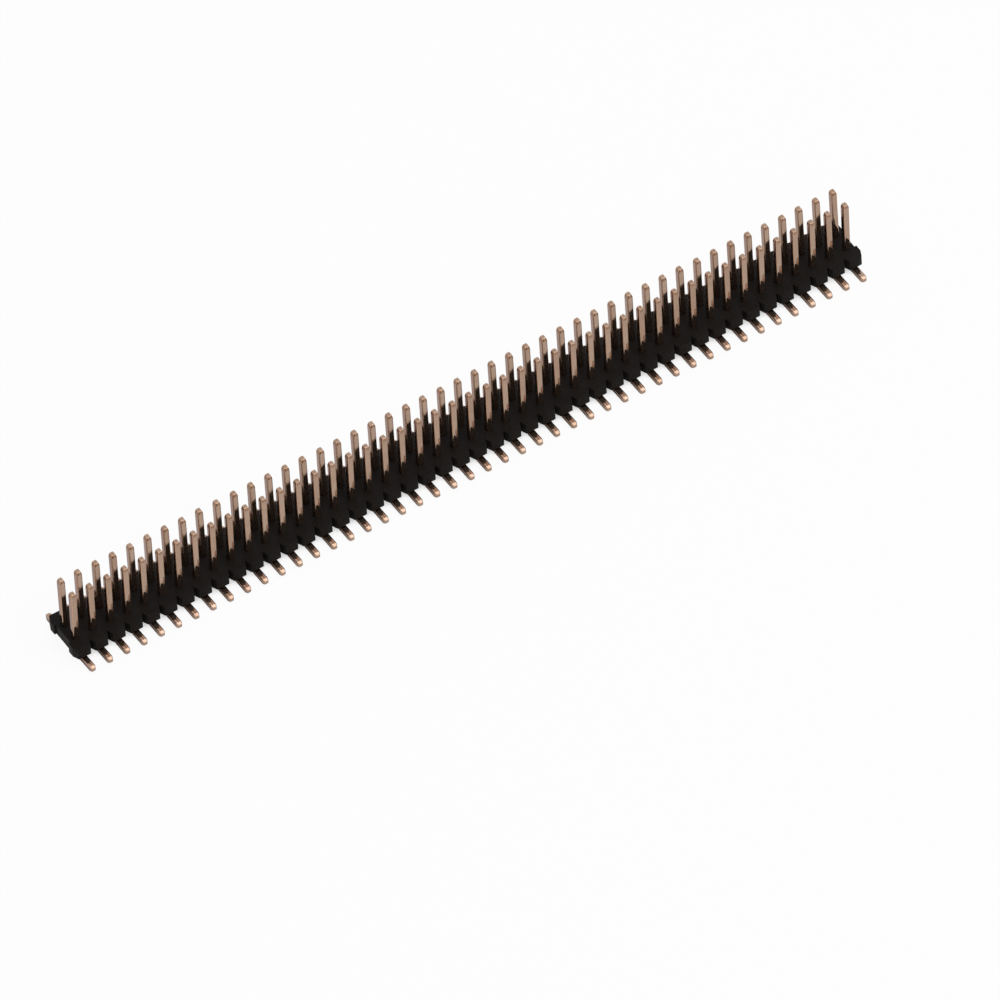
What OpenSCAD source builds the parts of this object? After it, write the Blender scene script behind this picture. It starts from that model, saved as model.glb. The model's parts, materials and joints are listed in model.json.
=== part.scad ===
// Two-row surface-mount pin header strip: a black moulded insulator with V notches between
// its positions, and two rows of bent square-wire contacts pressed through it.
// The strip runs along X, the two rows of feet point to -Y and +Y, and the feet stand on z = 0.

/* [Strip] */
// Number of positions along the strip, each with two contacts
positions = 46; // [2:1:59]
// Distance between neighbouring positions
pitch = 1.27; // [1:0.01:2.54]
// Distance between the two rows of contacts
row_spacing = 1.27; // [1.1:0.01:1.6]

/* [Insulator] */
// Width of the insulator, across both rows
insulator_w = 3.5; // [2.8:0.05:5]
// Height of the insulator
insulator_h = 0.85; // [0.8:0.05:2.5]
// Depth of the V notch between two positions
notch_depth = 0.42; // [0.1:0.01:0.45]
// Width of the V notch at its mouth
notch_w = 0.38; // [0.1:0.01:0.5]
// Depth of the recess between the rows in each end face
end_recess_depth = 0.12; // [0.05:0.01:0.2]
// Width of that recess at its mouth
end_recess_w = 0.6; // [0.2:0.05:0.8]
// Diameter of the ejector-pin marks in the underside
ejector_d = 0.6; // [0.2:0.05:0.65]
// Depth of those marks
ejector_depth = 0.04; // [0.01:0.01:0.1]
// Positions from one ejector-pin mark to the next
ejector_step = 3; // [1:1:10]

/* [Contacts] */
// Side of the square wire
wire = 0.41; // [0.3:0.01:0.5]
// Length of each contact above the insulator
mating_len = 4.15; // [2:0.05:10]
// Distance from the end of a back foot to the end of a front foot
foot_span = 5.5; // [4.4:0.05:7]
// Inside radius of the bend between pin and foot
bend_r = 0.12; // [0.05:0.01:0.4]
// Length of the bevels at the mating end
tip_len = 0.23; // [0.1:0.01:0.6]
// Side of the flat left between those bevels
tip_flat = 0.28; // [0.1:0.01:0.29]
// Length of the bevels at the end of the foot
toe_len = 0.2; // [0.1:0.01:0.4]
// Side of the flat left between those bevels
toe_flat = 0.28; // [0.1:0.01:0.29]

/* [Fits] */
// Gap all round between a contact and its hole; 0 is a press fit, face to face
hole_clearance = 0; // [0:0.005:0.03]
// Gap between the top of the bend and the underside of the insulator
bend_clearance = 0.02; // [0:0.01:0.3]

/* [Hidden] */
$fn = 48;
strip_l = positions * pitch;
half_wire = wire / 2;
outer_bend_r = bend_r + wire;
hole_w = wire + 2 * hole_clearance;
underside_z = outer_bend_r + bend_clearance;
tip_z = underside_z + insulator_h + mating_len;
foot_reach = (foot_span - row_spacing) / 2;
land_w = pitch - notch_w;
moulding_black = [0.10, 0.10, 0.10];
contact_gold = [0.80, 0.66, 0.52];

function position_x(i) = (i - (positions + 1) / 2) * pitch;
function pair_name(i) = str("contact_pair_", i < 10 ? "0" : "", i);

// ---- insulator -------------------------------------------------------------------------

// The notched edge of one long side, from the left end to the right one
function notched_edge() = [
    for (i = [1:positions]) each [
        [position_x(i) - pitch / 2, -insulator_w / 2 + notch_depth],
        [position_x(i) - land_w / 2, -insulator_w / 2],
        [position_x(i) + land_w / 2, -insulator_w / 2]
    ],
    [strip_l / 2, -insulator_w / 2 + notch_depth]
];

// The shallow V between the rows in the right end face
function end_recess() = [
    [strip_l / 2, -end_recess_w / 2],
    [strip_l / 2 - end_recess_depth, 0],
    [strip_l / 2, end_recess_w / 2]
];

// The front edge and right end, then the same turned half round for the back and left
function insulator_outline() =
    let (half_way = concat(notched_edge(), end_recess()))
    concat(half_way, [for (p = half_way) -p]);

module contact_holes() {
    for (i = [1:positions], side = [-1, 1])
        translate([position_x(i), side * row_spacing / 2])
            square(hole_w, center = true);
}

module ejector_marks() {
    for (i = [ejector_step:ejector_step:positions])
        translate([position_x(i), 0, underside_z - ejector_depth])
            cylinder(h = 2 * ejector_depth, d = ejector_d);
}

module insulator() {
    color(moulding_black)
        difference() {
            translate([0, 0, underside_z])
                linear_extrude(insulator_h)
                    difference() {
                        polygon(insulator_outline());
                        contact_holes();
                    }
            ejector_marks();
        }
}

// ---- contacts --------------------------------------------------------------------------

// A bar of wire along +Y whose far end is bevelled down to a small flat
module bevelled_bar(length, bevel_len, flat) {
    polygon([
        [-half_wire, 0],
        [half_wire, 0],
        [half_wire, length - bevel_len],
        [flat / 2, length],
        [-flat / 2, length],
        [-half_wire, length - bevel_len]
    ]);
}

// What lies between a quarter circle and the corner of the square around it
module corner_outside(radius) {
    difference() {
        square(radius);
        translate([radius, radius])
            circle(radius);
    }
}

// The contact from the side: pin up, foot out along +X, with its bend in the corner
module contact_side_view() {
    difference() {
        union() {
            bevelled_bar(tip_z, tip_len, tip_flat);
            translate([-half_wire, half_wire])
                rotate(-90)
                    bevelled_bar(foot_reach + half_wire, toe_len, toe_flat);
        }
        translate([-half_wire, 0])
            corner_outside(outer_bend_r);
    }
    translate([half_wire, wire])
        corner_outside(bend_r);
}

// One contact, with its pin on the Z axis and its foot pointing to +Y
module contact() {
    intersection() {
        rotate([90, 0, 90])
            linear_extrude(wire, center = true)
                contact_side_view();
        rotate([90, 0, 0])
            linear_extrude(2 * foot_span, center = true)
                bevelled_bar(tip_z, tip_len, tip_flat);
        linear_extrude(tip_z)
            translate([0, -half_wire])
                bevelled_bar(foot_reach + half_wire, toe_len, toe_flat);
    }
}

module contact_pair(i) {
    color(contact_gold)
        translate([position_x(i), 0, 0])
            for (side = [0, 1])
                mirror([0, side, 0])
                    translate([0, row_spacing / 2, 0])
                        contact();
}

insulator();
for (i = [1:positions])
    contact_pair(i);
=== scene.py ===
"""Looks of a two-row surface-mount pin header strip.

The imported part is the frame: it gives every place and overall size. Each contact is formed here
as the real one is, from rounded square wire that is coined at both ends and bent into a foot.
The insulator is the part's own solid with wider recesses in its ends and the small edge radii of
a moulding. Lengths are in millimetres where nothing else is said; a stored mesh is in metres.
"""

import json
import logging
import math
import random
from dataclasses import dataclass, field
from enum import Enum
from typing import Any

import bmesh
import bpy
from mathutils import Matrix, Vector

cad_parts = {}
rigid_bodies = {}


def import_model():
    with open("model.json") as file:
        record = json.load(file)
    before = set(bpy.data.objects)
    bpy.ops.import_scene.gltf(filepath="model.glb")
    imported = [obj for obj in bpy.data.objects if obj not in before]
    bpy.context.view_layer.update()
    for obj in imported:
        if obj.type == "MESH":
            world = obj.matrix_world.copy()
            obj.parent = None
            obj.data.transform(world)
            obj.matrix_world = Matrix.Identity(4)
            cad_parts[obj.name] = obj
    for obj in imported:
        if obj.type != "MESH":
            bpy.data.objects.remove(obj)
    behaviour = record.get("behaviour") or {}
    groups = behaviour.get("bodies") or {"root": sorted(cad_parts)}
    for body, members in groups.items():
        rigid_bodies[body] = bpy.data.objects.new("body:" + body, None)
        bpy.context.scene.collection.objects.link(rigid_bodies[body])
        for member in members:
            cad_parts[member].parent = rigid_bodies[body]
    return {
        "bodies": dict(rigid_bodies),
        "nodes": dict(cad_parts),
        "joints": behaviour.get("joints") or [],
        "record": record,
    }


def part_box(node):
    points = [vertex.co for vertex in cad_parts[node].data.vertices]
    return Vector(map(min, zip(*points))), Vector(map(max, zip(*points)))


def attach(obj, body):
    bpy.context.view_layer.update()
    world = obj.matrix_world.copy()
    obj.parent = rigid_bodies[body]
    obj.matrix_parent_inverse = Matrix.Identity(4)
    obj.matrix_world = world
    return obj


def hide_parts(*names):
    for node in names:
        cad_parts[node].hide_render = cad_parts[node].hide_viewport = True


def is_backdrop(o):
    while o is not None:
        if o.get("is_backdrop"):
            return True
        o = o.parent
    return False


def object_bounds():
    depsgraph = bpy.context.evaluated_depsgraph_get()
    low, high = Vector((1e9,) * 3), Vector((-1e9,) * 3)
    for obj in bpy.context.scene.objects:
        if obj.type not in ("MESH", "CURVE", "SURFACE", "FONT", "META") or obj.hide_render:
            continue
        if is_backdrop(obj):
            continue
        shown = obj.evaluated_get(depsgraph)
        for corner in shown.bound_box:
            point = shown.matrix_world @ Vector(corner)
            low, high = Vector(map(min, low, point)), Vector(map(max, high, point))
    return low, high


MM = 0.001
BODY = "root"
WORN = "worn"
ROUNDED = "rounded"
SAME_PLACE = 1e-6
LOG = logging.getLogger("pin_header")


# ---- shader trees ------------------------------------------------------------------------


class Value:
    """A shader socket that Python arithmetic can be written on."""

    def __init__(self, shader: "Shader", socket: bpy.types.NodeSocket) -> None:
        """Wraps one output socket of a shader."""
        self.shader = shader
        self.socket = socket

    def __add__(self, other: "Value | float") -> "Value":
        """self + other."""
        return self.shader.maths("ADD", self, other)

    def __sub__(self, other: "Value | float") -> "Value":
        """self - other."""
        return self.shader.maths("SUBTRACT", self, other)

    def __rsub__(self, other: float) -> "Value":
        """other - self."""
        return self.shader.maths("SUBTRACT", other, self)

    def __mul__(self, other: "Value | float") -> "Value":
        """self * other."""
        return self.shader.maths("MULTIPLY", self, other)

    def __truediv__(self, other: "Value | float") -> "Value":
        """self / other."""
        return self.shader.maths("DIVIDE", self, other)

    __radd__ = __add__


class Shader:
    """A node tree that is filled through one method, with short names for what is used often."""

    def __init__(self, tree: bpy.types.NodeTree) -> None:
        """Empties the tree and takes it over."""
        self.tree = tree
        tree.nodes.clear()

    def node(
        self, kind: str, settings: dict[str, Any] | None = None, inputs: dict[Any, Any] | None = None
    ) -> bpy.types.Node:
        """Adds one node.

        Args:
            kind: Blender's name for the node's type.
            settings: properties of the node, set before its sockets.
            inputs: socket name or number to a constant, a Value or an output socket.

        Returns:
            The new node.
        """
        made = self.tree.nodes.new(kind)
        for name, setting in (settings or {}).items():
            setattr(made, name, setting)
        for name, given in (inputs or {}).items():
            source = given.socket if isinstance(given, Value) else given
            if isinstance(source, bpy.types.NodeSocket):
                self.tree.links.new(source, made.inputs[name])
            else:
                made.inputs[name].default_value = source
        return made

    def maths(self, operation: str, first: "Value | float", second: "Value | float" = 0.0) -> Value:
        """A Math node on one or two numbers."""
        made = self.node("ShaderNodeMath", {"operation": operation}, {0: first, 1: second})
        return Value(self, made.outputs[0])

    def millimetres(self) -> Value:
        """Object coordinates, counted in millimetres."""
        place = self.node("ShaderNodeTexCoord")
        return self.stretch(place.outputs["Object"], (1 / MM, 1 / MM, 1 / MM))

    def stretch(self, vector: Any, factors: tuple[float, float, float]) -> Value:
        """A vector with each part multiplied by its own factor."""
        made = self.node("ShaderNodeVectorMath", {"operation": "MULTIPLY"}, {0: vector, 1: factors})
        return Value(self, made.outputs[0])

    def parts(self, vector: Value) -> tuple[Value, Value, Value]:
        """The three parts of a vector."""
        made = self.node("ShaderNodeSeparateXYZ", inputs={0: vector})
        return tuple(Value(self, made.outputs[i]) for i in range(3))

    def noise(self, vector: Value, scale: float, detail: float = 2.0, roughness: float = 0.5) -> Value:
        """Soft noise from about 0 to 1, with `scale` cells to each unit of the vector."""
        inputs = {"Vector": vector, "Scale": scale, "Detail": detail, "Roughness": roughness}
        return Value(self, self.node("ShaderNodeTexNoise", inputs=inputs).outputs[0])

    def ramp(self, value: Value, low: float, high: float) -> Value:
        """0 below `low`, 1 above `high`, and a smooth rise between them.

        Args:
            value: what the result follows.
            low: the value up to which the result is 0.
            high: the value from which the result is 1.

        Returns:
            The ramp, from 0 to 1.
        """
        inputs = {"Value": value, "From Min": low, "From Max": high}
        made = self.node("ShaderNodeMapRange", {"interpolation_type": "SMOOTHSTEP"}, inputs)
        return Value(self, made.outputs[0])

    def blend(self, factor: Value, first: Any, second: Any) -> Value:
        """A colour between two colours.

        Args:
            factor: 0 for the first colour, 1 for the second.
            first: a colour or the socket of one.
            second: a colour or the socket of one.

        Returns:
            The blended colour.
        """
        inputs = {0: factor, 6: first, 7: second}
        made = self.node("ShaderNodeMix", {"data_type": "RGBA"}, inputs)
        return Value(self, made.outputs[2])

    def turn(self, factor: Value, first: Value, second: Value) -> Value:
        """A vector between two vectors.

        Args:
            factor: 0 for the first vector, 1 for the second.
            first: a vector.
            second: a vector.

        Returns:
            The vector between them.
        """
        inputs = {0: factor, 4: first, 5: second}
        made = self.node("ShaderNodeMix", {"data_type": "VECTOR"}, inputs)
        return Value(self, made.outputs[1])

    def bump(self, height: Value, depth_mm: float) -> Value:
        """A normal raised by a height from 0 to 1 over `depth_mm`."""
        inputs = {"Height": height, "Distance": depth_mm * MM}
        return Value(self, self.node("ShaderNodeBump", inputs=inputs).outputs[0])

    def surface(self, inputs: dict[str, Any]) -> None:
        """Ends the tree in a Principled surface."""
        made = self.node("ShaderNodeBsdfPrincipled", inputs=inputs)
        self.node("ShaderNodeOutputMaterial", inputs={"Surface": made.outputs[0]})


def colour(red: float, green: float, blue: float) -> tuple[float, float, float, float]:
    """An opaque linear colour."""
    return (red, green, blue, 1.0)


def new_material(name: str) -> tuple[bpy.types.Material, Shader]:
    """Makes a material whose node tree is still empty.

    Args:
        name: the material's name.

    Returns:
        The material and the shader that fills it.
    """
    material = bpy.data.materials.new(name)
    material.use_nodes = True
    return material, Shader(material.node_tree)


# ---- finishes ----------------------------------------------------------------------------


@dataclass(frozen=True)
class GoldPlating:
    """Thin bright gold over drawn and coined square wire."""

    pitch: float
    bright: tuple[float, float, float, float] = colour(0.425, 0.300, 0.226)
    deep: tuple[float, float, float, float] = colour(0.345, 0.225, 0.158)
    worn: tuple[float, float, float, float] = colour(0.270, 0.155, 0.098)
    # Lighter colour of the rounded upper edges: partly burnish, partly a painted highlight for what those
    # edges reflect.
    edge: tuple[float, float, float, float] = colour(0.540, 0.330, 0.215)
    polish: float = 0.05
    foot_height: float = 0.5
    foot_fade: float = 0.2
    lines_across: float = 34.0
    lines_along: float = 0.9
    # Heights between which the burnish and painted highlight on the rounded edges fade in.
    burnish_and_highlight_start: float = 1.8
    burnish_and_highlight_end: float = 3.4
    relief: float = 0.0010

    def material(self) -> bpy.types.Material:
        """Builds the plating: drawing lines along the wire, soft smears, a tone of its own for each
        contact, and a painted highlight, partly burnish, on the rounded upper edges.

        Returns:
            The finished material.
        """
        made, shader = new_material("gold_plating")
        place = shader.millimetres()
        along_x, along_y, height = shader.parts(place)
        position = shader.maths("FLOOR", along_x / self.pitch)
        row = shader.maths("GREATER_THAN", along_y, 0.0)
        cell = shader.node("ShaderNodeCombineXYZ", inputs={0: position, 1: row})
        scatter = shader.node(
            "ShaderNodeTexWhiteNoise", {"noise_dimensions": "2D"}, {"Vector": cell.outputs[0]}
        )
        own_tone = Value(shader, scatter.outputs["Value"])

        upright = shader.ramp(height, self.foot_height, self.foot_height + self.foot_fade)
        across, along = self.lines_across, self.lines_along
        foot_lines = shader.stretch(place, (across, along, across))
        pin_lines = shader.stretch(place, (across, across, along))
        lines = shader.noise(shader.turn(upright, foot_lines, pin_lines), 1.0, 3.0, 0.6)
        smears = shader.noise(place, 1.7, 2.0)
        pits = shader.noise(place, 26.0, 3.0, 0.6)

        tone = shader.ramp(own_tone * 0.3 + smears * 0.45 + lines * 0.25, 0.25, 0.85)
        gold = shader.blend(tone, self.bright, self.deep)
        worn, rounded = (
            Value(shader, shader.node("ShaderNodeAttribute", {"attribute_name": name}).outputs["Fac"])
            for name in (WORN, ROUNDED)
        )
        # Rounded edges high on the pin: burnish and a painted highlight, in a lighter, less metallic and
        # rougher finish.
        burnish_and_highlight = rounded * shader.ramp(height, self.burnish_and_highlight_start, self.burnish_and_highlight_end)
        wear = worn * (0.6 + shader.ramp(smears + pits * 0.3, 0.3, 0.9) * 0.2) * (1 - burnish_and_highlight)
        scratched = shader.ramp(lines + smears * 0.5, 0.5, 1.1)
        height_map = lines * 0.5 + pits * 0.3 + smears * 0.8
        shader.surface(
            {
                "Base Color": shader.blend(burnish_and_highlight, shader.blend(wear, gold, self.worn), self.edge),
                "Metallic": 0.97 - burnish_and_highlight * 0.2,
                "Specular Tint": colour(0.62, 0.62, 0.68),
                "Roughness": self.polish + scratched * 0.06 + worn * 0.06 + burnish_and_highlight * 0.4,
                "Normal": shader.bump(height_map, self.relief),
            }
        )
        return made


@dataclass(frozen=True)
class BlackMoulding:
    """Glass-filled black plastic from a spark-eroded mould."""

    resin: tuple[float, float, float, float] = colour(0.0036, 0.0032, 0.0029)
    skin: tuple[float, float, float, float] = colour(0.0075, 0.0066, 0.0060)
    fibre: tuple[float, float, float, float] = colour(0.028, 0.026, 0.024)
    gloss: float = 0.46
    reflectance: float = 0.11
    relief: float = 0.009

    def material(self) -> bpy.types.Material:
        """Builds the moulding: a fine grain, clouds where the melt cooled unevenly and short
        fibres lying along the flow.

        Returns:
            The finished material.
        """
        made, shader = new_material("black_moulding")
        place = shader.millimetres()
        grain = shader.noise(place, 24.0, 4.0, 0.62)
        clouds = shader.noise(place, 1.1, 3.0)
        flow = shader.stretch(place, (5.0, 30.0, 30.0))
        fibres = shader.ramp(shader.noise(flow, 1.0, 2.0), 0.64, 0.74)
        body = shader.blend(shader.ramp(clouds + grain * 0.4, 0.4, 1.0), self.resin, self.skin)
        shader.surface(
            {
                "Base Color": shader.blend(fibres * 0.5, body, self.fibre),
                "Roughness": self.gloss + grain * 0.16 + clouds * 0.12,
                "Specular IOR Level": self.reflectance,
                "Specular Tint": colour(1.0, 0.88, 0.84),
                "Normal": shader.bump(grain * 0.7 + fibres * 0.12 + clouds * 0.5, self.relief),
            }
        )
        return made


@dataclass(frozen=True)
class PaleBoard:
    """A matt surface that looks pure white in the open and keeps a soft shadow under the strip."""

    paper: tuple[float, float, float, float] = colour(0.86, 0.86, 0.86)
    lift: float = 0.93
    white: float = 1.0
    shade_reach: float = 1.0
    tooth_depth: float = 0.01

    def material(self) -> bpy.types.Material:
        """Builds the board: diffuse paper, lifted to white where it is seen or mirrored.

        Returns:
            The finished material.
        """
        made, shader = new_material("pale_board")
        place = shader.millimetres()
        tooth = shader.noise(place, 3.0, 3.0)
        paper = shader.node(
            "ShaderNodeBsdfDiffuse",
            inputs={"Color": self.paper, "Normal": shader.bump(tooth, self.tooth_depth)},
        )
        white = shader.node("ShaderNodeEmission", inputs={"Color": colour(1, 1, 1), "Strength": self.white})
        open_sky = shader.node(
            "ShaderNodeAmbientOcclusion", {"samples": 8}, {"Distance": self.shade_reach * MM}
        )
        openness = Value(shader, open_sky.outputs["AO"])
        camera = Value(shader, shader.node("ShaderNodeLightPath").outputs["Is Camera Ray"])
        seen = shader.ramp(openness, 0.02, 0.25) * camera
        mirrored = shader.ramp(openness, 0.5, 0.95) * (seen_directly(shader) - camera)
        mixed = shader.node(
            "ShaderNodeMixShader",
            inputs={0: (seen + mirrored) * self.lift, 1: paper.outputs[0], 2: white.outputs[0]},
        )
        shader.node("ShaderNodeOutputMaterial", inputs={"Surface": mixed.outputs[0]})
        return made


def seen_directly(shader: Shader) -> Value:
    """Tells rays that make a picture from those that only carry light.

    Args:
        shader: the tree that asks.

    Returns:
        1 for rays from the camera and for those off polished or through clear surfaces, else 0.
    """
    rays = shader.node("ShaderNodeLightPath").outputs
    camera, glossy, through = (
        Value(shader, rays[name])
        for name in ("Is Camera Ray", "Is Glossy Ray", "Is Transmission Ray")
    )
    return shader.maths("MINIMUM", camera + glossy + through, 1.0)


# ---- pieces ------------------------------------------------------------------------------


class Shading(Enum):
    """How the faces of a piece meet: the angle, in degrees, above which an edge stays crisp."""

    FORMED_WIRE = 38
    MOULDED = 50


FLAT_FACE_LEAD = 90


def store(
    mesh: bmesh.types.BMesh, name: str, material: bpy.types.Material, shading: Shading
) -> bpy.types.Object:
    """Turns a finished bmesh, in metres, into an object at the origin.

    Args:
        mesh: the shape; it is freed.
        name: the object's name.
        material: its only material.
        shading: how its edges are shaded.

    Returns:
        The new object.
    """
    bmesh.ops.recalc_face_normals(mesh, faces=mesh.faces)
    data = bpy.data.meshes.new(name)
    mesh.to_mesh(data)
    mesh.free()
    data.materials.append(material)
    data.shade_smooth()
    data.set_sharp_from_angle(angle=math.radians(shading.value))
    piece = bpy.data.objects.new(name, data)
    bpy.context.scene.collection.objects.link(piece)
    weights = piece.modifiers.new("flat_faces_lead", "WEIGHTED_NORMAL")
    weights.keep_sharp = True
    weights.weight = FLAT_FACE_LEAD
    return piece


@dataclass(frozen=True)
class Ring:
    """One outline of a coined end: where it lies, its size and how worn the metal is there."""

    distance: float
    width: float
    depth: float
    wear: float


@dataclass(frozen=True)
class WireEnd:
    """A coined end: four bevels down to a small flat, with slightly rounded edges.

    The bevels bulge by `crown` at the share `crown_at` of their length.
    """

    length: float
    flat: float
    flat_depth: float
    wear: float
    rim: float = 0.028
    rim_steps: int = 3
    crown: float = 0.010
    crown_at: float = 0.6
    shoulder: float = 0.018

    def _across(self, side: float, flat: float) -> list[float]:
        """Size of each ring in one direction.

        Args:
            side: size where the wire is whole.
            flat: size of the flat, as if its edges were sharp.

        Returns:
            The sizes, from the flat to where the wire is whole.
        """
        slope = (side - flat) / self.length
        turn = math.pi / 2 - math.atan(slope / 2)
        inset = self.rim * math.tan(turn / 2)
        steps = [turn * step / self.rim_steps for step in range(self.rim_steps + 1)]
        sizes = [flat + 2 * (self.rim * math.sin(angle) - inset) for angle in steps]
        sizes.append(flat + slope * self.length * self.crown_at + self.crown)
        sizes.append(flat + slope * (self.length - self.shoulder))
        return sizes + [side]

    def rings(self, side: float) -> list[Ring]:
        """The outlines of the end, from its flat on.

        Args:
            side: side of the square wire.

        Returns:
            The rings, the first of which is the flat.
        """
        steps = [math.pi / 2 * step / self.rim_steps for step in range(self.rim_steps + 1)]
        places = [self.rim * (1 - math.cos(angle)) for angle in steps]
        places += [self.length * self.crown_at]
        places += [self.length - self.shoulder, self.length + self.shoulder]
        worn = [self.wear * step / self.rim_steps for step in range(self.rim_steps + 1)]
        worn += [self.wear, self.wear, 0.0]
        widths = self._across(side, self.flat)
        depths = self._across(side, self.flat_depth)
        return [Ring(*sizes) for sizes in zip(places, widths, depths, worn)]


class FormedWire:
    """A bar of rounded square wire that is drawn, coined and bent, one step after another."""

    corner_steps: int = 3
    flatness: float = 1e-5

    def __init__(self, mesh: bmesh.types.BMesh, side: float, corner: float, tip: WireEnd) -> None:
        """Starts with the flat of the coined end, which faces up at the origin.

        Args:
            mesh: where the wire is made; what it holds already is left alone.
            side: side of the square wire.
            corner: radius of its four long edges.
            tip: shape of the end that it starts with.
        """
        self.mesh = mesh
        self.older = set(mesh.verts)
        layers = mesh.verts.layers.float
        self.worn, self.rounded = (layers.get(name) or layers.new(name) for name in (WORN, ROUNDED))
        self.side = side
        self.width, self.depth = side, side
        turned = Matrix.Rotation(math.radians(45), 4, "Z")
        made = bmesh.ops.create_circle(
            mesh, cap_ends=True, segments=4, radius=side / math.sqrt(2), matrix=turned
        )
        corners = bmesh.ops.bevel(
            mesh,
            geom=made["verts"],
            offset=corner,
            segments=self.corner_steps,
            profile=0.5,
            affect="VERTICES",
            material=-1,
        )
        self.face = next(face for face in corners["verts"][0].link_faces)
        for vert in self.face.verts:
            on_side = max(abs(vert.co.x), abs(vert.co.y)) > side / 2 - self.flatness
            vert[self.rounded] = 0.0 if on_side else 1.0
        rings = tip.rings(side)
        self._resize(rings[0].width, rings[0].depth)
        bmesh.ops.duplicate(mesh, geom=[self.face])
        self._follow(Vector((0, 0, -1)), rings)
        bmesh.ops.remove_doubles(mesh, verts=self.own_verts(), dist=SAME_PLACE)

    def own_verts(self) -> list[bmesh.types.BMVert]:
        """The points of this wire."""
        return [vert for vert in self.mesh.verts if vert not in self.older]

    def _resize(self, width: float, depth: float) -> None:
        """Scales the leading face about its middle.

        Args:
            width: its new size along X.
            depth: its new size across X.
        """
        across = depth / self.depth
        bmesh.ops.scale(
            self.mesh,
            verts=self.face.verts,
            vec=(width / self.width, across, across),
            space=Matrix.Translation(-self.face.calc_center_median()),
        )
        self.width, self.depth = width, depth

    def _extend(self, wear: float = 0.0) -> None:
        """Extrudes the leading face in place and leads on with the new one.

        Args:
            wear: how worn the metal is at the new face, from 0 to 1.
        """
        self.face = bmesh.ops.extrude_discrete_faces(self.mesh, faces=[self.face])["faces"][0]
        for vert in self.face.verts:
            vert[self.worn] = wear

    def _follow(self, way: Vector, rings: list[Ring]) -> None:
        """Draws the wire through the rings of a coined end.

        Args:
            way: the direction in which the wire grows.
            rings: the outlines, the first of which is where the leading face is.
        """
        for before, ring in zip(rings, rings[1:]):
            self._extend(ring.wear)
            step = abs(ring.distance - before.distance)
            bmesh.ops.translate(self.mesh, verts=self.face.verts, vec=way * step)
            self._resize(ring.width, ring.depth)

    def draw(self, step: Vector) -> None:
        """Extends the wire straight on."""
        self._extend()
        bmesh.ops.translate(self.mesh, verts=self.face.verts, vec=step)

    def bend(self, centre: Vector, axis: Vector, degrees: float, steps: int) -> None:
        """Turns the leading face about an axis, leaving a rounded bend behind.

        Args:
            centre: a point on the axis.
            axis: the axis's direction.
            degrees: the angle of the whole bend.
            steps: how many short straight stretches make up the bend.
        """
        turn = Matrix.Rotation(math.radians(degrees / steps), 3, axis)
        for _ in range(steps):
            self._extend()
            bmesh.ops.rotate(self.mesh, verts=self.face.verts, cent=centre, matrix=turn)

    def close(self, way: Vector, toe: WireEnd) -> None:
        """Ends the wire in a coined end."""
        self._follow(way, toe.rings(self.side)[::-1])


@dataclass(frozen=True)
class ContactForm:
    """Sizes of one contact that its box doesn't give."""

    corner: float = 0.068
    bend_radius: float = 0.12
    bend_steps: int = 8
    tip: WireEnd = WireEnd(length=0.23, flat=0.28, flat_depth=0.34, wear=1.0)
    toe: WireEnd = WireEnd(length=0.20, flat=0.28, flat_depth=0.28, wear=0.0)


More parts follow.
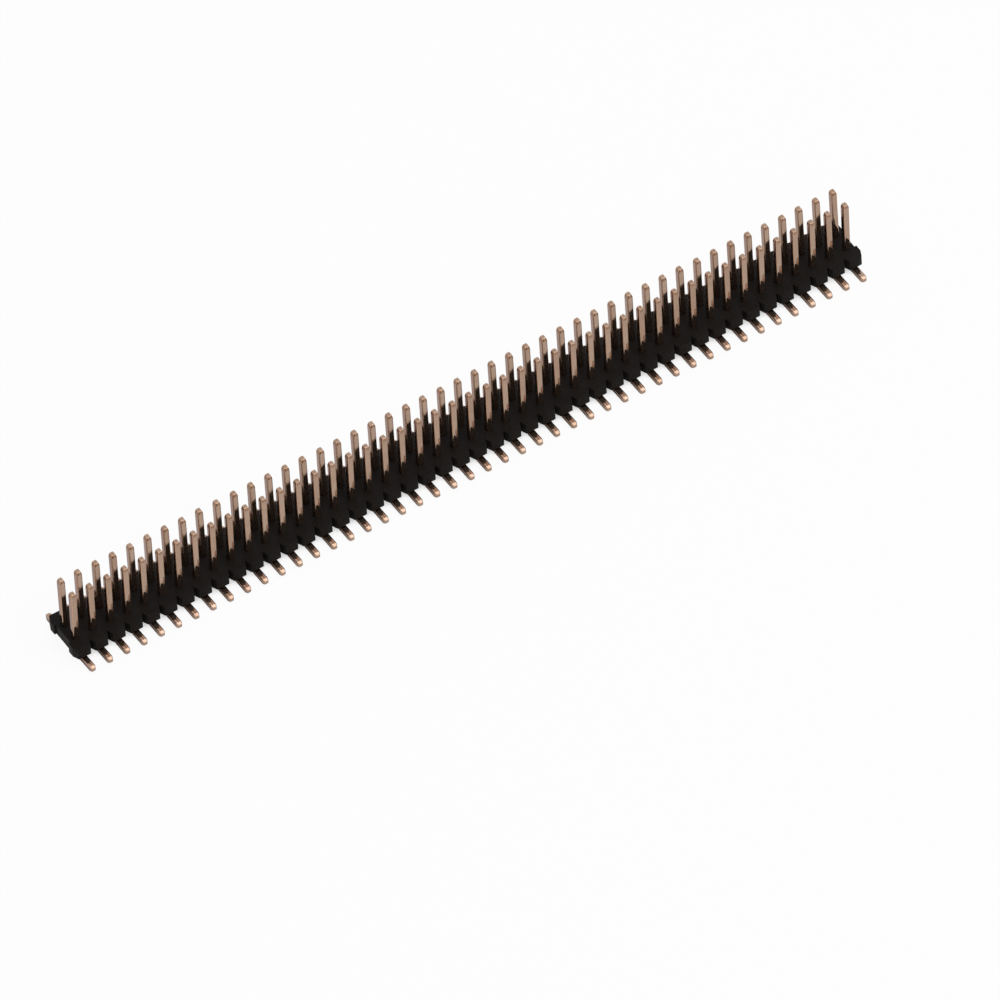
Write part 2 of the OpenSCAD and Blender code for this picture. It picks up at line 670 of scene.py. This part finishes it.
@dataclass
class ContactPair:
    """The back and front contact of one position, in the place of their CAD node."""

    node: str
    row_spacing: float
    shoulder: float
    form: ContactForm = field(default_factory=ContactForm)
    splay: float = 0.055
    toe_rise: float = 0.06
    lean: float = 0.018
    seed: int = 0

    def _contact(
        self, mesh: bmesh.types.BMesh, side: float, height: float, reach: float
    ) -> list[bmesh.types.BMVert]:
        """Forms one contact with its pin on the Z axis and its foot along +Y.

        Args:
            mesh: where the contact is made.
            side: side of the wire.
            height: height of the tip above the foot's underside.
            reach: how far the toe is from the pin's axis.

        Returns:
            The points of the contact, in millimetres.
        """
        form = self.form
        down, out = Vector((0, 0, -1)), Vector((0, 1, 0))
        wire = FormedWire(mesh, side, form.corner, form.tip)
        bmesh.ops.translate(mesh, verts=wire.own_verts(), vec=(0, 0, height))
        bend_height = side + form.bend_radius
        wire.draw(down * (height - form.tip.length - form.tip.shoulder - bend_height))
        bend_line = side / 2 + form.bend_radius
        wire.bend(Vector((0, bend_line, bend_height)), Vector((1, 0, 0)), 90, form.bend_steps)
        wire.draw(out * (reach - form.toe.length - form.toe.shoulder - bend_line))
        wire.close(out, form.toe)
        return wire.own_verts()

    def _raise_toe(self, verts: list[bmesh.types.BMVert], side: float, reach: float) -> None:
        """Tilts the foot so that its toe is a little higher than its heel.

        Args:
            verts: the points of the contact.
            side: side of the wire.
            reach: how far the toe is from the pin's axis.
        """
        start = side / 2 + self.form.bend_radius
        for vert in verts:
            if vert.co.y > start and vert.co.z < 2 * side:
                vert.co.z += self.toe_rise * (vert.co.y - start) / (reach - start)

    def _lean_over(self, verts: list[bmesh.types.BMVert], chance: random.Random) -> None:
        """Leans what stands above the insulator outward and a little at random.

        Args:
            verts: the points of the contact.
            chance: where the random part comes from.
        """
        sideways, outward = (chance.uniform(-self.lean, self.lean) for _ in range(2))
        tilt = Vector((sideways, self.splay + outward, 0.0))
        top = max(vert.co.z for vert in verts)
        for vert in verts:
            if vert.co.z > self.shoulder:
                vert.co += tilt * (vert.co.z - self.shoulder) / (top - self.shoulder)

    def build(self, material: bpy.types.Material) -> bpy.types.Object:
        """Forms both contacts and puts them where their node is.

        Args:
            material: the plating.

        Returns:
            The finished piece, already riding and standing for its node.
        """
        low, high = (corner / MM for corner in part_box(self.node))
        side = high.x - low.x
        reach = (high.y - low.y - self.row_spacing) / 2
        chance = random.Random(self.seed)
        both = bmesh.new()
        for turns in (0, 1):
            verts = self._contact(both, side, high.z, reach)
            if turns:
                self._raise_toe(verts, side, reach)
            self._lean_over(verts, chance)
            place = (
                Matrix.Scale(MM, 4)
                @ Matrix.Translation(((low.x + high.x) / 2, 0, 0))
                @ Matrix.Rotation(math.pi * turns, 4, "Z")
                @ Matrix.Translation((0, self.row_spacing / 2, 0))
            )
            bmesh.ops.transform(both, matrix=place, verts=verts)
        piece = store(both, f"plated_{self.node}", material, Shading.FORMED_WIRE)
        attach(piece, BODY)
        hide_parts(self.node)
        return piece


@dataclass
class Insulator:
    """The black moulding, with its flat-floored end recesses and the edge radii of its mould."""

    frame: dict[str, Any]
    node: str = "insulator"
    recess_width: float = 1.7
    recess_depth: float = 0.14
    edge_radius: float = 0.03
    edge_steps: int = 2
    crisp_angle: float = 20.0
    flat_angle: float = 1.0
    weld: float = 1e-4

    def _part_off(self, mesh: bmesh.types.BMesh, side: int, floor: float, half: float) -> None:
        """Splits the faces at one end along the three planes of its recess.

        Args:
            mesh: the moulding, changed in place.
            side: 1 for the right end, -1 for the left one.
            floor: how far the recess's floor is from the middle of the strip, in metres.
            half: half the width of the recess, in metres.
        """
        planes = (((side * floor, 0, 0), (1, 0, 0)), ((0, half, 0), (0, 1, 0)), ((0, -half, 0), (0, 1, 0)))
        margin = 2 * self.weld * MM
        for point, normal in planes:
            reaching = [f for f in mesh.faces if max(side * v.co.x for v in f.verts) > floor + margin]
            slab = dict.fromkeys(part for f in reaching for part in (*f.verts, *f.edges, f))
            bmesh.ops.bisect_plane(
                mesh, geom=list(slab), dist=self.weld * MM, plane_co=point, plane_no=normal
            )

    def _cut_recess(self, mesh: bmesh.types.BMesh, side: int) -> None:
        """Cuts the wide, shallow recess between the two rows into one end face.

        Args:
            mesh: the moulding, changed in place.
            side: 1 for the right end, -1 for the left one.
        """
        half = self.recess_width * MM / 2
        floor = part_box(self.node)[1].x - self.recess_depth * MM
        self._part_off(mesh, side, floor, half)
        middles = {face: face.calc_center_median() for face in mesh.faces}
        inside = [f for f, at in middles.items() if side * at.x > floor and abs(at.y) < half]
        bmesh.ops.delete(mesh, geom=inside, context="FACES")
        rim = [edge for edge in mesh.edges if edge.is_boundary]
        on_rim = dict.fromkeys(vert for edge in rim for vert in edge.verts)
        for way in (-1, 1):
            corner = Vector((side * floor, way * half))
            upright = [v for v in on_rim if (v.co.xy - corner).length < 2 * self.weld * MM]
            rim.append(mesh.edges.new(upright))
        bmesh.ops.edgenet_fill(mesh, edges=rim, sides=0)
        bmesh.ops.recalc_face_normals(mesh, faces=mesh.faces)

    def build(self, material: bpy.types.Material) -> bpy.types.Object:
        """Copies the part's solid, cuts its end recesses and rounds its edges.

        Args:
            material: the moulding's finish.

        Returns:
            The finished piece, already riding and standing for its node.
        """
        mesh = bmesh.new()
        mesh.from_mesh(self.frame["nodes"][self.node].data)
        bmesh.ops.remove_doubles(mesh, verts=mesh.verts, dist=self.weld * MM)
        for side in (-1, 1):
            self._cut_recess(mesh, side)
        bmesh.ops.dissolve_limit(
            mesh, angle_limit=math.radians(self.flat_angle), verts=mesh.verts, edges=mesh.edges
        )
        limit = math.radians(self.crisp_angle)
        edges = [e for e in mesh.edges if e.is_manifold and e.calc_face_angle() > limit]
        bmesh.ops.bevel(
            mesh,
            geom=edges,
            offset=self.edge_radius * MM,
            segments=self.edge_steps,
            profile=0.5,
            affect="EDGES",
            clamp_overlap=True,
            material=-1,
        )
        piece = store(mesh, "moulded_insulator", material, Shading.MOULDED)
        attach(piece, BODY)
        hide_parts(self.node)
        return piece


@dataclass
class PinHeader:
    """The whole strip: one insulator and its contacts."""

    frame: dict[str, Any]
    row_spacing: float = 1.27

    def build(self) -> list[bpy.types.Object]:
        """Builds and dresses every piece, and reports each one.

        Returns:
            The pieces, the insulator first.
        """
        pairs = sorted(name for name in self.frame["nodes"] if name.startswith("contact_pair_"))
        first, second = (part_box(name)[0].x / MM for name in pairs[:2])
        plating = GoldPlating(pitch=second - first).material()
        insulator = Insulator(self.frame)
        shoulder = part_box(insulator.node)[1].z / MM
        pieces = [insulator.build(BlackMoulding().material())]
        for number, name in enumerate(pairs):
            pair = ContactPair(name, self.row_spacing, shoulder, seed=number)
            pieces.append(pair.build(plating))
        for piece in pieces:
            LOG.info("%s: %d faces", piece.name, len(piece.data.polygons))
        return pieces


# ---- studio ------------------------------------------------------------------------------


@dataclass(frozen=True)
class Softbox:
    """A square lamp that faces the strip: its angles in degrees and its lengths in metres."""

    name: str
    azimuth: float
    elevation: float
    distance: float
    side: float
    brightness: float

    def build(self) -> bpy.types.Object:
        """Hangs the lamp and points it at the origin.

        Returns:
            The lamp's object.
        """
        lamp = bpy.data.lights.new(self.name, "AREA")
        lamp.shape = "SQUARE"
        lamp.size = self.side
        lamp.energy = self.brightness * math.pi * self.side**2
        made = bpy.data.objects.new(self.name, lamp)
        away = direction(self.azimuth, self.elevation)
        made.location = away * self.distance
        made.rotation_euler = away.to_track_quat("Z", "Y").to_euler()
        bpy.context.scene.collection.objects.link(made)
        return made


def direction(azimuth: float, elevation: float) -> Vector:
    """The way from the strip to a place around it.

    Args:
        azimuth: its bearing in degrees, 0 in front, on the -Y side, and 90 to the right.
        elevation: its height above the horizon in degrees.

    Returns:
        A unit vector.
    """
    turn, rise = math.radians(azimuth), math.radians(elevation)
    return Vector(
        (math.sin(turn) * math.cos(rise), -math.cos(turn) * math.cos(rise), math.sin(rise))
    )


@dataclass(frozen=True)
class Viewpoint:
    """The camera: its angles in degrees, its framing in millimetres and its reach in metres."""

    azimuth: float = -29.7
    elevation: float = 49.1
    roll: float = 3.5
    lens: float = 1000.0
    field_width: float = 62.59
    strip_left: float = 2.735
    strip_up: float = 4.99
    nearest: float = 0.01
    farthest: float = 20.0

    def build(self, centre: Vector) -> bpy.types.Object:
        """Places the camera so that the strip's centre lies off the middle of its frame.

        Args:
            centre: the middle of the strip, in metres.

        Returns:
            The camera, already set as the scene's.
        """
        lens = bpy.data.cameras.new("viewpoint")
        lens.lens = self.lens
        made = bpy.data.objects.new("viewpoint", lens)
        away = direction(self.azimuth, self.elevation)
        turned = away.to_track_quat("Z", "Y").to_matrix() @ Matrix.Rotation(
            math.radians(-self.roll), 3, "Z"
        )
        right, up = turned.col[0], turned.col[1]
        aim = centre + (right * self.strip_left - up * self.strip_up) * MM
        distance = self.field_width * MM * self.lens / lens.sensor_width
        made.matrix_world = Matrix.Translation(aim + away * distance) @ turned.to_4x4()
        lens.clip_start = self.nearest
        lens.clip_end = self.farthest
        bpy.context.scene.collection.objects.link(made)
        bpy.context.scene.camera = made
        return made


@dataclass(frozen=True)
class Studio:
    """White surroundings, soft lamps and the camera; the floor's side is in metres."""

    floor_side: float = 1.6
    floor_gap: float = 0.004
    fill: float = 0.5

    def _floor(self) -> None:
        """Lays the pale board that the feet stand on."""
        mesh = bmesh.new()
        bmesh.ops.create_grid(mesh, x_segments=2, y_segments=2, size=self.floor_side / 2)
        bmesh.ops.translate(mesh, verts=mesh.verts, vec=(0, 0, -self.floor_gap * MM))
        floor = store(mesh, "floor", PaleBoard().material(), Shading.MOULDED)
        floor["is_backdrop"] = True

    def _surroundings(self) -> None:
        """Fills the world with soft light, and with plain white where it is seen."""
        world = bpy.data.worlds.new("surroundings")
        world.use_nodes = True
        bpy.context.scene.world = world
        shader = Shader(world.node_tree)
        strength = seen_directly(shader) * (1 - self.fill) + self.fill
        sky = shader.node(
            "ShaderNodeBackground", inputs={"Color": colour(1, 1, 1), "Strength": strength}
        )
        shader.node("ShaderNodeOutputWorld", inputs={"Surface": sky.outputs[0]})

    def build(self, centre: Vector) -> None:
        """Sets up everything around the strip.

        Args:
            centre: the middle of the strip, in metres.
        """
        self._floor()
        self._surroundings()
        Softbox("overhead", azimuth=80, elevation=74, distance=0.42, side=0.36, brightness=1.5).build()
        Softbox("front_right", azimuth=32, elevation=48, distance=0.5, side=0.36, brightness=1.5).build()
        Viewpoint().build(centre)
        bpy.context.scene.view_settings.view_transform = "Standard"


def main() -> None:
    """Loads the frame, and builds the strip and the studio."""
    logging.basicConfig(level=logging.INFO, format="%(name)s: %(message)s")
    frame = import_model()
    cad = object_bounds()
    centre = (Vector(cad[0]) + Vector(cad[1])) / 2
    PinHeader(frame).build()
    Studio().build(centre)


if __name__ == "__main__":
    main()
